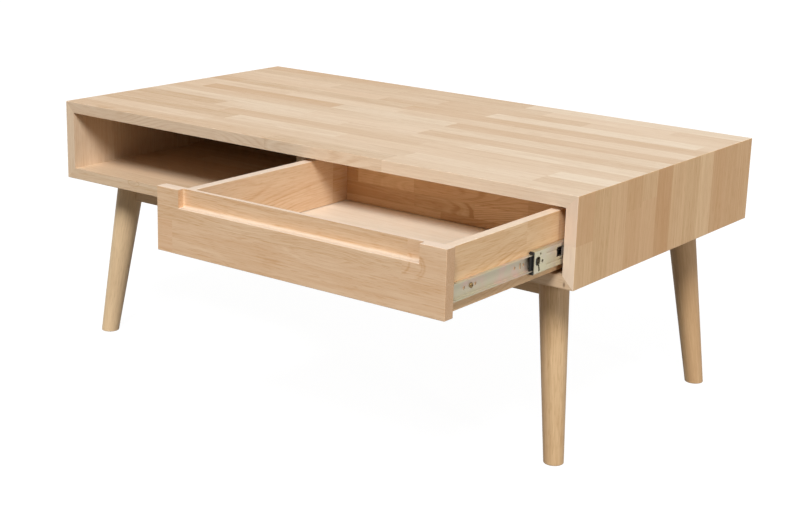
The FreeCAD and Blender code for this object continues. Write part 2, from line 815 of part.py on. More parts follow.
def slide_nodes(slide):
    """One slide: its rails, cages, balls, buffer, lever and screws."""
    outer = (outer_ball_across, outer_ball_rise, outer_ball,
             outer_cage_start, outer_cage_length, outer_ball_count)
    inner = (inner_ball_across, inner_ball_rise, inner_ball,
             inner_cage_start, inner_cage_length, inner_ball_count)
    pieces = {"cabinet_rail": [cabinet_rail(slide)],
              "middle_rail": [middle_rail(slide)],
              "drawer_rail": [drawer_rail(slide)],
              "outer_cage": [ball_cage(slide, outer_cage_web, *outer)],
              "inner_cage": [ball_cage(slide, inner_cage_web, *inner)],
              "outer_balls": balls(slide, *outer),
              "inner_balls": balls(slide, *inner),
              "front_buffer": [front_buffer(slide)],
              "release_lever": [release_lever(slide)],
              "cabinet_screws": [countersunk(slide, spot, 0) for spot in cabinet_screw_spots(slide)],
              "drawer_screws": [pan_screw(slide, spot) for spot in drawer_screw_spots(slide)]}
    return {slide.name + "_" + piece: solids for piece, solids in pieces.items()}


def main():
    """Write every node of the table."""
    os.makedirs("parts", exist_ok=True)
    nodes = {**case_nodes(), **leg_nodes(), **drawer_nodes()}
    for slide in slides:
        nodes.update(slide_nodes(slide))
    for name, solids in nodes.items():
        save(name, solids)


main()
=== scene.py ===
"""Looks of a low oak table with one drawer and an open niche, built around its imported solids.

The table is a mitred case of edge-glued oak on four splayed, turned legs. The left half is an open niche,
and the right half holds a drawer on two ball-bearing slides. All sizes are in metres, in the frame of the
solids.
"""

from __future__ import annotations

import json
import logging
import math
from dataclasses import astuple, dataclass
from enum import Enum

import bpy
from mathutils import Matrix, Vector

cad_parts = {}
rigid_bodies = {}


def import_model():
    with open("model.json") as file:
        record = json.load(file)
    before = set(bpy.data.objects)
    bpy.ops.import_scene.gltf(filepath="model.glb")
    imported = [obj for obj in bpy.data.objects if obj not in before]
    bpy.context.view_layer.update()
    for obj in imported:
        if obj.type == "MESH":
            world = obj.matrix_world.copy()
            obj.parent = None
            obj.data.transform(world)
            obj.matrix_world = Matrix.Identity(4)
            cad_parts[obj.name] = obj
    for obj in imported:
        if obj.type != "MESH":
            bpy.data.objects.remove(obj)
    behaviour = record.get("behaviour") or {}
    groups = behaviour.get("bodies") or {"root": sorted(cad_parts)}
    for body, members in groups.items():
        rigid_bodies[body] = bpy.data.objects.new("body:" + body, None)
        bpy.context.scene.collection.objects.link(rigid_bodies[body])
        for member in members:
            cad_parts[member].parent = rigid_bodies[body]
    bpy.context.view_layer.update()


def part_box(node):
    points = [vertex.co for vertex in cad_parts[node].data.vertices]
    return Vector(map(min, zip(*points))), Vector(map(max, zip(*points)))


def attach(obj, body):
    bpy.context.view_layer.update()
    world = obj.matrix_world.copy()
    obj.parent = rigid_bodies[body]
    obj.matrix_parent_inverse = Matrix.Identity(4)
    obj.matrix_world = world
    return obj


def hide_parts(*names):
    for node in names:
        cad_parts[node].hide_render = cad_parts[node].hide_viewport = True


LOG = logging.getLogger("oak_table")
IMAGE_WIDTH = 794
MM = 0.001

Pair = tuple[float, float]
Triple = tuple[float, float, float]

# The ranges of a noise's values that a pattern is stretched over.
NEAR_NOISE: Pair = (0.3, 0.7)
MOST_NOISE: Pair = (0.25, 0.75)
WIDE_NOISE: Pair = (0.2, 0.8)


def linear(hex_colour: str) -> tuple[float, float, float, float]:
    """Turns an sRGB hex colour into linear light.

    Args:
        hex_colour: six hex digits after a hash sign.

    Returns:
        Linear red, green and blue, with an alpha of 1.
    """
    shares = [int(hex_colour[start:start + 2], 16) / 255 for start in (1, 3, 5)]
    light = [s / 12.92 if s <= 0.04045 else ((s + 0.055) / 1.055) ** 2.4 for s in shares]
    return light[0], light[1], light[2], 1.0


class NodeSheet:
    """A node tree that is filled one named node at a time."""

    def __init__(self, tree: bpy.types.NodeTree) -> None:
        """Empties the tree."""
        tree.nodes.clear()
        self.tree = tree
        self.made: dict[str, bpy.types.Node] = {}

    def source(self, label: str) -> bpy.types.NodeSocket:
        """Finds an output by its label.

        Args:
            label: an earlier node's name after an @, and after a dot its output's name or number.

        Returns:
            The output's socket, the node's first one where the label names none.
        """
        node, _, output = label[1:].partition(".")
        key = output if output and not output.isdigit() else int(output or 0)
        return self.made[node].outputs[key]

    def add(self, name: str, kind: str, inputs: dict | None = None, **settings: object) -> bpy.types.Node:
        """Adds one node with its settings, values and links.

        Args:
            name: what the node gives, by which later nodes ask for it.
            kind: Blender's name for the type of node.
            inputs: for an input's name or number, its value, an output's label, or a list of labels.
            settings: the node's properties.

        Returns:
            The new node.
        """
        node = self.tree.nodes.new(kind)
        node.name = name
        for key, value in settings.items():
            setattr(node, key, value)
        for key, value in (inputs or {}).items():
            labels = value if isinstance(value, list) else [value]
            for label in labels:
                if isinstance(label, str):
                    self.tree.links.new(self.source(label), node.inputs[key])
                else:
                    node.inputs[key].default_value = label
        self.made[name] = node
        return node

    def number(self, name: str, operation: str, *terms: float | str) -> None:
        """Adds a number worked out from its terms, which are values or labels."""
        self.add(name, "ShaderNodeMath", dict(enumerate(terms)), operation=operation)

    def vector(self, name: str, operation: str, *terms: Triple | str) -> None:
        """Adds a vector, or its length or share, worked out from its terms."""
        self.add(name, "ShaderNodeVectorMath", dict(enumerate(terms)), operation=operation)

    def ramp(self, name: str, source: str, before: Pair, after: Pair = (0.0, 1.0)) -> None:
        """Adds a straight, clamped change of one range of a number into another."""
        self.add(name, "ShaderNodeMapRange", dict(enumerate((source, *before, *after))))

    def mix(self, name: str, share: float | str, first: object, second: object, **settings: object) -> None:
        """Adds a mix of two colours, from the first at a share of 0 to the second at 1."""
        self.add(name, "ShaderNodeMix", {0: share, 6: first, 7: second}, data_type="RGBA", **settings)


def blank_material(name: str) -> tuple[bpy.types.Material, NodeSheet]:
    """Makes an empty material.

    Args:
        name: what it is made of.

    Returns:
        The material, and the sheet for its nodes.
    """
    made = bpy.data.materials.new(name)
    made.use_nodes = True
    return made, NodeSheet(made.node_tree)


class Lay(Enum):
    """How a board lies: the directions of its grain, its width and its thickness."""

    ALONG_FLAT = ((1, 0, 0), (0, 1, 0), (0, 0, 1))
    ALONG_UPRIGHT = ((1, 0, 0), (0, 0, 1), (0, -1, 0))
    UP_DEEP = ((0, 0, 1), (0, 1, 0), (-1, 0, 0))
    DEEP_UPRIGHT = ((0, 1, 0), (0, 0, 1), (1, 0, 0))


@dataclass(frozen=True)
class OakTone:
    """The colours between which a piece of oak varies, as sRGB hex values."""

    dark: str
    light: str
    rosy: str


TOP_TONE = OakTone("#C29B6E", "#F2DFC6", "#DBB894")
# The back's tone is darker than the oak's own: painted shade for the back of the niche.
BACK_SHADE_TONE = OakTone("#A88358", "#D0B793", "#BA936E")
END_TONE = OakTone("#C4935E", "#F0D0A4", "#D9A87B")
PALE_TONE = OakTone("#C8A276", "#F0DBC1", "#DAB590")
DRAWER_TONE = OakTone("#CF9F6D", "#FADFBF", "#E5B58C")
LEFT_SIDE_TONE = OakTone("#C4976A", "#EED5B6", "#D8AC84")
RIGHT_SIDE_TONE = OakTone("#D3A169", "#FDE0B8", "#E6B687")
INSIDE_TONE = OakTone("#B68654", "#F0CFA4", "#D19E6F")
LEG_TONE = OakTone("#BF9A6E", "#F4D6AC", "#D6AC82")
VENEER_TONE = OakTone("#D8C2A3", "#FCF3E5", "#ECDAC6")
BEECH_TONE = OakTone("#C99B6D", "#EBCBA3", "#DDAF86")
# Pale tints for edges facing one way: worked wood and painted highlight, the routed one less bright.
SANDED_AND_LIT = "#FCEFE2"
ROUTED_AND_LIT = "#E6D6C4"
END_GRAIN = "#F0EAE4"
HEART = "#6E4C30"
WHITE = "#FFFFFF"


@dataclass(frozen=True)
class Knot:
    """A place where the grain flows round, in the board's own grain, width and thickness directions.

    The core darkens its heart, the rim a ring round it, and the lines the grain that bends by it. A side of 1
    or -1 keeps the rim and the lines to its far or near half along the grain.
    """

    along: float
    across: float
    deep: float
    length: float
    width: float
    rise: float = 0.0
    core: float = 0.0
    rim: float = 0.0
    lines: float = 0.0
    side: int = 0


@dataclass(frozen=True)
class OakFinish:
    """Oiled oak, glued up from finger-jointed staves.

    It gives the eye long staves of slightly different tone, growth rings that run along them in soft lines,
    short dark pores, and a matt sheen from the oil.
    """

    name: str
    axes: tuple[Triple, Triple, Triple]
    origin: Triple
    tone: OakTone
    seed: int
    stave_width: float = 43 * MM
    stave_length: float = 0.42
    # How far staves differ in tone, how pale the board is, and how much paler it gets in a metre of grain.
    spread: float = 0.42
    paleness: float = 0.5
    trend: float = 0.0
    # Which way pale edges face, how much paler above and below a level: worked wood and painted highlight.
    sanded_way: Triple = (0, 0, 1)
    sanded_from: float = 0.0
    sanded: float = 0.0
    routed: float = 0.0
    knots: tuple[Knot, ...] = ()
    ring_width: float = 3 * MM
    # A real pore is 0.3 mm wide, and is drawn at 1.6 mm so that it shows at the photograph's scale.
    pore_width: float = 1.6 * MM
    pore_length: float = 20 * MM
    streak_width: float = 2 * MM
    streak_length: float = 120 * MM
    cloud_width: float = 28 * MM
    cloud_length: float = 180 * MM
    # How a row's number gives its chance and its shift, and how unequal the staves in it are.
    first_row: float = 100.0
    row_key_step: float = 7.31
    row_shift_most: float = 31.7
    swing_rate: float = 2.3
    swing_size: float = 0.22
    # How far apart in the log the staves are cut, and how its rings wander, lean and curve.
    cut_reach: Triple = (4.3, 0.7, 0.9)
    wander_length: float = 220 * MM
    wander_width: float = 45 * MM
    wander_depth: float = 16 * MM
    pith_reach: float = 130 * MM
    pith_depth: float = 18 * MM
    pith_depth_range: float = 70 * MM
    lean_range: float = 0.05
    # How a knot's heart gathers, how wide its rim is in shares of its size, and where its one side starts.
    # The flank of a swell is a quarter at most, which the gain makes whole.
    knot_line: float = 5 * MM
    knot_line_range: Pair = (0.2, 1.0)
    heart_power: float = 6.0
    rim_share: float = 0.16
    side_range: Pair = (0.2, 0.6)
    flank_gain: float = 4.0
    # How much each pattern pales or darkens the wood, and tints it.
    cloud_tone: float = 0.10
    ring_tone: float = 0.10
    streak_tone: float = 0.17
    pore_tone: float = 0.22
    pore_range: Pair = (0.54, 0.70)
    rosy_most: float = 0.38
    # How square to the grain a cut end is, and how square to its way a pale edge is.
    end_range: Pair = (0.75, 0.95)
    pale_edge_range: Pair = (0.2, 0.85)
    # The oil's sheen, and the relief of rings and pores beside that of the streaks.
    sheen_range: Pair = (0.62, 0.48)
    ring_relief: float = 0.4
    pore_relief: float = 0.8
    relief_height: float = 0.25 * MM

    def staves(self, sheet: NodeSheet) -> None:
        """Divides the board into rows of staves and draws chances for each."""
        turn = Matrix(self.axes).transposed().to_euler()
        sheet.add("place", "ShaderNodeTexCoord")
        sheet.add("board", "ShaderNodeMapping", {
            "Vector": "@place.Object", "Location": self.origin, "Rotation": turn}, vector_type="TEXTURE")
        sheet.add("board_axes", "ShaderNodeSeparateXYZ", {0: "@board"})
        sheet.number("row_place", "MULTIPLY_ADD", "@board_axes.Y", 1 / self.stave_width, self.first_row)
        sheet.number("row", "FLOOR", "@row_place")
        sheet.number("in_row", "FRACT", "@row_place")
        sheet.number("row_key", "ADD", "@row", self.seed * self.row_key_step)
        sheet.add("row_chance", "ShaderNodeTexWhiteNoise", {"W": "@row_key"}, noise_dimensions="1D")
        sheet.number("row_shift", "MULTIPLY", "@row_chance.Value", self.row_shift_most)
        sheet.number("stave_place", "MULTIPLY_ADD", "@board_axes.X", 1 / self.stave_length, "@row_shift")
        sheet.number("swing_angle", "MULTIPLY", "@stave_place", self.swing_rate)
        sheet.number("swing", "SINE", "@swing_angle")
        sheet.number("uneven_place", "MULTIPLY_ADD", "@swing", self.swing_size, "@stave_place")
        sheet.number("stave", "FLOOR", "@uneven_place")
        sheet.add("stave_key", "ShaderNodeCombineXYZ", {0: "@row", 1: "@stave", 2: self.seed})
        sheet.add("chance", "ShaderNodeTexWhiteNoise", {"Vector": "@stave_key"}, noise_dimensions="3D")
        sheet.add("chances", "ShaderNodeSeparateXYZ", {0: "@chance.Color"})

    @staticmethod
    def fineness(length: float, width: float) -> Triple:
        """Gives the scale of a pattern that is longer along the grain than across it.

        Args:
            length: its real size along the grain.
            width: its real size across the grain.

        Returns:
            How often it repeats in a metre, along, across and into the board.
        """
        return 1 / length, 1 / width, 1 / width

    def rings(self, sheet: NodeSheet) -> None:
        """Cuts each stave from its own place in a log, whose rings then show as lines along it."""
        sheet.vector("cut", "MULTIPLY", "@chance.Color", self.cut_reach)
        sheet.vector("log", "ADD", "@board", "@cut")
        sheet.vector("slow", "MULTIPLY", "@log", self.fineness(self.wander_length, self.wander_width))
        sheet.add("wander", "ShaderNodeTexNoise", {"Vector": "@slow", "Scale": 1.0, "Detail": 2.0})
        sheet.number("side_cut", "SUBTRACT", "@chances.X", 0.5)
        sheet.number("lean", "SUBTRACT", "@chances.Y", 0.5)
        sheet.number("row_middle", "MULTIPLY_ADD", "@in_row", self.stave_width, -self.stave_width / 2)
        sheet.number("from_pith", "MULTIPLY_ADD", "@side_cut", self.pith_reach, "@row_middle")
        sheet.number("leaned", "MULTIPLY", "@lean", self.lean_range)
        sheet.number("across_log", "MULTIPLY_ADD", "@leaned", "@board_axes.X", "@from_pith")
        sheet.number("pith_depth", "MULTIPLY_ADD", "@chances.Z", self.pith_depth_range, self.pith_depth)
        sheet.number("into_log", "ADD", "@board_axes.Z", "@pith_depth")
        sheet.add("log_section", "ShaderNodeCombineXYZ", {0: "@across_log", 1: "@into_log"})
        sheet.vector("radius", "LENGTH", "@log_section")
        sheet.number("flow_0", "MULTIPLY_ADD", "@wander", self.wander_depth, "@radius.Value")

    def figure(self, sheet: NodeSheet) -> str:
        """Lets the rings flow round each knot.

        Returns:
            The label of the ring field.
        """
        flow = "@flow_0"
        for number, knot in enumerate(self.knots, 1):
            tag = f"knot_{number}"
            sheet.add(f"{tag}_place", "ShaderNodeMapping", {
                "Vector": "@board", "Location": (knot.along, knot.across, knot.deep),
                "Scale": (knot.length, knot.width, knot.width)}, vector_type="TEXTURE")
            sheet.vector(f"{tag}_reach", "LENGTH", f"@{tag}_place")
            sheet.number(f"{tag}_square", "POWER", f"@{tag}_reach.Value", 2.0)
            sheet.number(f"{tag}_fall", "MULTIPLY", f"@{tag}_square", -1.0)
            sheet.number(f"{tag}_swell", "EXPONENT", f"@{tag}_fall")
            sheet.number(f"flow_{number}", "MULTIPLY_ADD", f"@{tag}_swell", knot.rise, flow)
            sheet.number(f"{tag}_core", "POWER", f"@{tag}_swell", self.heart_power)
            flow = f"@flow_{number}"
        sheet.number("line_angle", "MULTIPLY", flow, math.tau / self.knot_line)
        sheet.number("line_wave", "SINE", "@line_angle")
        sheet.ramp("line", "@line_wave", self.knot_line_range)
        return flow

    def tones(self, sheet: NodeSheet, flow: str) -> None:
        """Works out how pale the wood is from its staves, rings, streaks, clouds and pores.

        Args:
            sheet: where the nodes go.
            flow: the label of the ring field.
        """
        sheet.add("ring", "ShaderNodeTexNoise", {
            "W": flow, "Scale": 1 / self.ring_width, "Detail": 2.0, "Roughness": 0.6}, noise_dimensions="1D")
        sheet.vector("streak_place", "MULTIPLY", "@log", self.fineness(self.streak_length, self.streak_width))
        sheet.add("streak", "ShaderNodeTexNoise", {
            "Vector": "@streak_place", "Scale": 1.0, "Detail": 3.0, "Roughness": 0.6, "Distortion": 0.3})
        sheet.vector("pore_place", "MULTIPLY", "@log", self.fineness(self.pore_length, self.pore_width))
        sheet.add("pore_noise", "ShaderNodeTexNoise", {"Vector": "@pore_place", "Scale": 1.0, "Detail": 1.0})
        sheet.ramp("pore", "@pore_noise", self.pore_range)
        sheet.vector("cloud_place", "MULTIPLY", "@log", self.fineness(self.cloud_length, self.cloud_width))
        sheet.add("cloud", "ShaderNodeTexNoise", {"Vector": "@cloud_place", "Scale": 1.0, "Detail": 1.0})
        sheet.ramp("tone_cloud", "@cloud", MOST_NOISE, (-self.cloud_tone, self.cloud_tone))
        sheet.ramp("tone_ring", "@ring", MOST_NOISE, (-self.ring_tone, self.ring_tone))
        sheet.ramp("tone_streak", "@streak", MOST_NOISE, (-self.streak_tone, self.streak_tone))
        sheet.number("tone_trend", "MULTIPLY_ADD", "@board_axes.X", self.trend,
                     self.paleness - self.spread / 2)
        sheet.number("tone_stave", "MULTIPLY_ADD", "@chances.Z", self.spread, "@tone_trend")
        sheet.number("tone_lines", "ADD", "@tone_ring", "@tone_streak")
        sheet.number("tone_board", "ADD", "@tone_lines", "@tone_stave")
        sheet.number("tone_bare", "ADD", "@tone_board", "@tone_cloud")
        sheet.number("tone_0", "MULTIPLY_ADD", "@pore", -self.pore_tone, "@tone_bare")

    def knot_marks(self, sheet: NodeSheet) -> tuple[str, float | str]:
        """Darkens the lines, rims and hearts of the knots.

        Returns:
            The labels of the tone and of the hearts' share, which is nought without knots.
        """
        tone, heart = "@tone_0", 0.0
        for number, knot in enumerate(self.knots, 1):
            tag = f"knot_{number}"
            sheet.number(f"{tag}_centre", "SUBTRACT", 1.0, f"@{tag}_swell")
            sheet.number(f"{tag}_flank", "MULTIPLY", f"@{tag}_swell", f"@{tag}_centre")
            sheet.add(f"{tag}_axes", "ShaderNodeSeparateXYZ", {0: f"@{tag}_place"})
            sheet.number(f"{tag}_beside", "MULTIPLY_ADD", f"@{tag}_axes.X", knot.side, 1 - abs(knot.side))
            sheet.ramp(f"{tag}_open", f"@{tag}_beside", self.side_range, (0.0, self.flank_gain))
            sheet.number(f"{tag}_shown", "MULTIPLY", f"@{tag}_flank", f"@{tag}_open")
            sheet.number(f"{tag}_lines", "MULTIPLY", f"@{tag}_shown", "@line")
            sheet.number(f"{tag}_lined", "MULTIPLY_ADD", f"@{tag}_lines", -knot.lines, tone)
            sheet.number(f"{tag}_off_rim", "SUBTRACT", f"@{tag}_reach.Value", 1.0)
            sheet.number(f"{tag}_off_size", "ABSOLUTE", f"@{tag}_off_rim")
            sheet.ramp(f"{tag}_rim", f"@{tag}_off_size", (0.0, self.rim_share), (1 / self.flank_gain, 0.0))
            sheet.number(f"{tag}_rim_shown", "MULTIPLY", f"@{tag}_rim", f"@{tag}_open")
            sheet.number(f"tone_{number}", "MULTIPLY_ADD", f"@{tag}_rim_shown", -knot.rim, f"@{tag}_lined")
            sheet.number(f"heart_{number}", "MULTIPLY_ADD", f"@{tag}_core", knot.core, heart)
            tone, heart = f"@tone_{number}", f"@heart_{number}"
        return tone, heart

    def colours(self, sheet: NodeSheet, tone: str, heart: float | str) -> None:
        """Mixes the wood's colours, its cut ends, and its pale edges of worked wood and painted highlight.

        Args:
            sheet: where the nodes go.
            tone: the label of how pale the wood is.
            heart: the share of the knots' hearts.
        """
        sheet.mix("bare_wood", tone, linear(self.tone.dark), linear(self.tone.light))
        sheet.mix("wood", heart, "@bare_wood.2", linear(HEART))
        sheet.number("rosy_share", "MULTIPLY", "@chances.X", self.rosy_most)
        sheet.mix("tinted", "@rosy_share", "@wood.2", linear(self.tone.rosy))
        sheet.vector("facing", "DOT_PRODUCT", "@place.Normal", self.axes[0])
        sheet.number("facing_size", "ABSOLUTE", "@facing.Value")
        sheet.ramp("end_grain", "@facing_size", self.end_range)
        sheet.mix("cut_ends", "@end_grain", "@tinted.2", linear(END_GRAIN), blend_type="MULTIPLY")
        # Edges facing one way get paler: worked wood, and a painted highlight where the lamps fall.
        sheet.vector("edge_on", "DOT_PRODUCT", "@place.Normal", self.sanded_way)
        sheet.ramp("worked", "@edge_on.Value", self.pale_edge_range)
        sheet.add("place_axes", "ShaderNodeSeparateXYZ", {0: "@place.Object"})
        sheet.number("high", "GREATER_THAN", "@place_axes.Z", self.sanded_from)
        sheet.number("rim", "MULTIPLY", "@worked", "@high")
        sheet.number("ledge", "SUBTRACT", "@worked", "@rim")
        sheet.number("rim_share", "MULTIPLY", "@rim", self.sanded)
        sheet.number("ledge_share", "MULTIPLY", "@ledge", self.routed)
        sheet.mix("ledges", "@ledge_share", "@cut_ends.2", linear(ROUTED_AND_LIT))
        sheet.mix("edges", "@rim_share", "@ledges.2", linear(SANDED_AND_LIT))

    def relief(self, sheet: NodeSheet) -> None:
        """Adds the sheen and the relief, and joins all in one surface."""
        sheet.ramp("sheen", "@streak", WIDE_NOISE, self.sheen_range)
        sheet.number("relief_lines", "MULTIPLY_ADD", "@ring", self.ring_relief, "@streak")
        sheet.number("relief", "MULTIPLY_ADD", "@pore", -self.pore_relief, "@relief_lines")
        sheet.add("bump", "ShaderNodeBump", {
            "Height": "@relief", "Strength": 0.35, "Distance": self.relief_height})
        sheet.add("oak", "ShaderNodeBsdfPrincipled", {
            "Base Color": "@edges.2", "Roughness": "@sheen", "IOR": 1.47, "Normal": "@bump"})
        sheet.add("out", "ShaderNodeOutputMaterial", {"Surface": "@oak"})

    def material(self) -> bpy.types.Material:
        """Builds the finish as a material."""
        made, sheet = blank_material(self.name)
        self.staves(sheet)
        self.rings(sheet)
        self.tones(sheet, self.figure(sheet))
        self.colours(sheet, *self.knot_marks(sheet))
        self.relief(sheet)
        return made


@dataclass(frozen=True)
class MetalFinish:
    """Steel strip or turned steel, plated.

    It gives the eye a soft grey mirror with fine rolling lines along the strip, and where it is passivated,
    faint clouds of two other tints.
    """

    name: str
    colour: str
    cloud: str
    second_cloud: str
    roughness: float
    cloud_size: float = 32 * MM
    metallic: float = 1.0
    # Rolling lines are a few hundredths of a millimetre apart, and are drawn at 0.5 mm so that they show.
    line_width: float = 0.5 * MM
    line_length: float = 60 * MM
    line_height: float = 0.05 * MM
    smoother: float = 0.06
    rougher: float = 0.08
    cloud_range: Pair = (0.42, 0.66)
    second_range: Pair = (0.48, 0.30)

    def material(self) -> bpy.types.Material:
        """Builds the finish as a material."""
        made, sheet = blank_material(self.name)
        sheet.add("place", "ShaderNodeTexCoord")
        sheet.add("cloud", "ShaderNodeTexNoise", {
            "Vector": "@place.Object", "Scale": 1 / self.cloud_size, "Detail": 2.0})
        sheet.ramp("cloud_share", "@cloud", self.cloud_range)
        sheet.ramp("second_share", "@cloud", self.second_range)
        sheet.mix("first_tint", "@cloud_share", linear(self.colour), linear(self.cloud))
        sheet.mix("tint", "@second_share", "@first_tint.2", linear(self.second_cloud))
        sheet.vector("line_place", "MULTIPLY", "@place.Object",
                     (1 / self.line_width, 1 / self.line_length, 1 / self.line_width))
        sheet.add("lines", "ShaderNodeTexNoise", {"Vector": "@line_place", "Scale": 1.0, "Detail": 2.0})
        sheet.ramp("rough", "@lines", NEAR_NOISE,
                   (self.roughness - self.smoother, self.roughness + self.rougher))
        sheet.add("bump", "ShaderNodeBump", {
            "Height": "@lines", "Strength": 0.12, "Distance": self.line_height})
        sheet.add("steel", "ShaderNodeBsdfPrincipled", {
            "Base Color": "@tint.2", "Metallic": self.metallic, "Roughness": "@rough", "Normal": "@bump"})
        sheet.add("out", "ShaderNodeOutputMaterial", {"Surface": "@steel"})
        return made


@dataclass(frozen=True)
class PlasticFinish:
    """Moulded black acetal, which gives the eye a dull, slightly grained black with a soft highlight."""

    name: str
    colour: str
    worn: str
    grain: float = 0.6 * MM
    grain_height: float = 0.1 * MM
    roughness: Pair = (0.38, 0.52)

    def material(self) -> bpy.types.Material:
        """Builds the finish as a material."""
        made, sheet = blank_material(self.name)
        sheet.add("place", "ShaderNodeTexCoord")
        sheet.add("grain", "ShaderNodeTexNoise", {
            "Vector": "@place.Object", "Scale": 1 / self.grain, "Detail": 2.0})
        sheet.mix("tint", "@grain", linear(self.colour), linear(self.worn))
        sheet.ramp("rough", "@grain", NEAR_NOISE, self.roughness)
        sheet.add("bump", "ShaderNodeBump", {
            "Height": "@grain", "Strength": 0.15, "Distance": self.grain_height})
        sheet.add("acetal", "ShaderNodeBsdfPrincipled", {
            "Base Color": "@tint.2", "Roughness": "@rough", "IOR": 1.42, "Normal": "@bump"})
        sheet.add("out", "ShaderNodeOutputMaterial", {"Surface": "@acetal"})
        return made


ZINC = MetalFinish("zinc_plated_steel", "#C8B9A3", "#C3BDA3", "#CFB6A6", roughness=0.42, metallic=0.5)
WARM_ZINC = MetalFinish("passivated_zinc_steel", "#C6BFAA", "#C9C3A3", "#C8BAAE", roughness=0.36,
                        metallic=0.7)
BRASSY_ZINC = MetalFinish("yellow_passivated_screw_steel", "#8C7450", "#A58C64", "#6B573A", roughness=0.3,
                          cloud_size=6 * MM)
BRIGHT_STEEL = MetalFinish("polished_ball_steel", "#D3D5D6", "#C9CCCE", "#DADCDC", roughness=0.12,
                           cloud_size=8 * MM)
BLACK_ACETAL = PlasticFinish("moulded_black_acetal", "#0E0E0E", "#1E1D1C")


def paint(node: str, material: bpy.types.Material) -> None:
    """Gives a solid's object one material.

    Args:
        node: the solid's name.
        material: its finish.
    """
    shown = bpy.data.objects[node]
    for slot in shown.material_slots:
        slot.material = material
    LOG.info("dressed %s in %s", node, material.name)


def oak_for(node: str, lay: Lay, tone: OakTone, seed: int, **sizes: object) -> OakFinish:
    """Lays oak on a board from its own box.

    Args:
        node: the board's name.
        lay: how its grain lies.
        tone: its colours.
        seed: which staves it gets.
        sizes: other fields of the finish.

    Returns:
        The board's finish, with its first row of staves at the board's low edge.
    """
    low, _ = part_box(node)
    return OakFinish(f"oiled_oak_{node}", lay.value, tuple(low), tone, seed, **sizes)


def beech_for(node: str, lay: Lay) -> OakFinish:
    """Lays plain beech on small turned or sawn pieces, whose flecks are short.

    Args:
        node: the pieces' name.
        lay: how their grain lies.

    Returns:
        The pieces' finish.
    """
    low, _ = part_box(node)
    return OakFinish(f"turned_beech_{node}", lay.value, tuple(low), BEECH_TONE, seed=61, stave_width=0.3,
                     stave_length=1.0, spread=0.1, pore_length=5 * MM, streak_length=40 * MM)


@dataclass(frozen=True)
class ScrewSizes:
    """The sizes of one kind of cross-recessed screw, and its crown as a share of its head's height."""

    head: float
    under: float
    height: float
    crown: float
    recess: float
    recess_width: float
    recess_depth: float
    shank: float
    length: float
    pitch: float = 1.6 * MM
    thread: float = 0.35 * MM


PAN_SCREW = ScrewSizes(
    head=8 * MM, under=8 * MM, height=2.2 * MM, crown=0.5, recess=4.8 * MM, recess_width=1.1 * MM,
    recess_depth=1.4 * MM, shank=3.5 * MM, length=13.2 * MM)
FLAT_SCREW = ScrewSizes(
    head=5.9 * MM, under=3.5 * MM, height=1.2 * MM, crown=0.0, recess=3.4 * MM, recess_width=0.8 * MM,
    recess_depth=0.7 * MM, shank=3.5 * MM, length=12 * MM)
RAIL_SCREW = ScrewSizes(
    head=9.5 * MM, under=9.5 * MM, height=3.5 * MM, crown=0.35, recess=5.6 * MM, recess_width=1.3 * MM,
    recess_depth=2.0 * MM, shank=5 * MM, length=33 * MM)


class Facing(Enum):
    """Which way a screw's head looks, as the turns that bring it there from looking up."""

    RIGHT = (0.0, math.pi / 2, 0.0)
    LEFT = (0.0, -math.pi / 2, 0.0)
    DOWN = (math.pi, 0.0, 0.0)


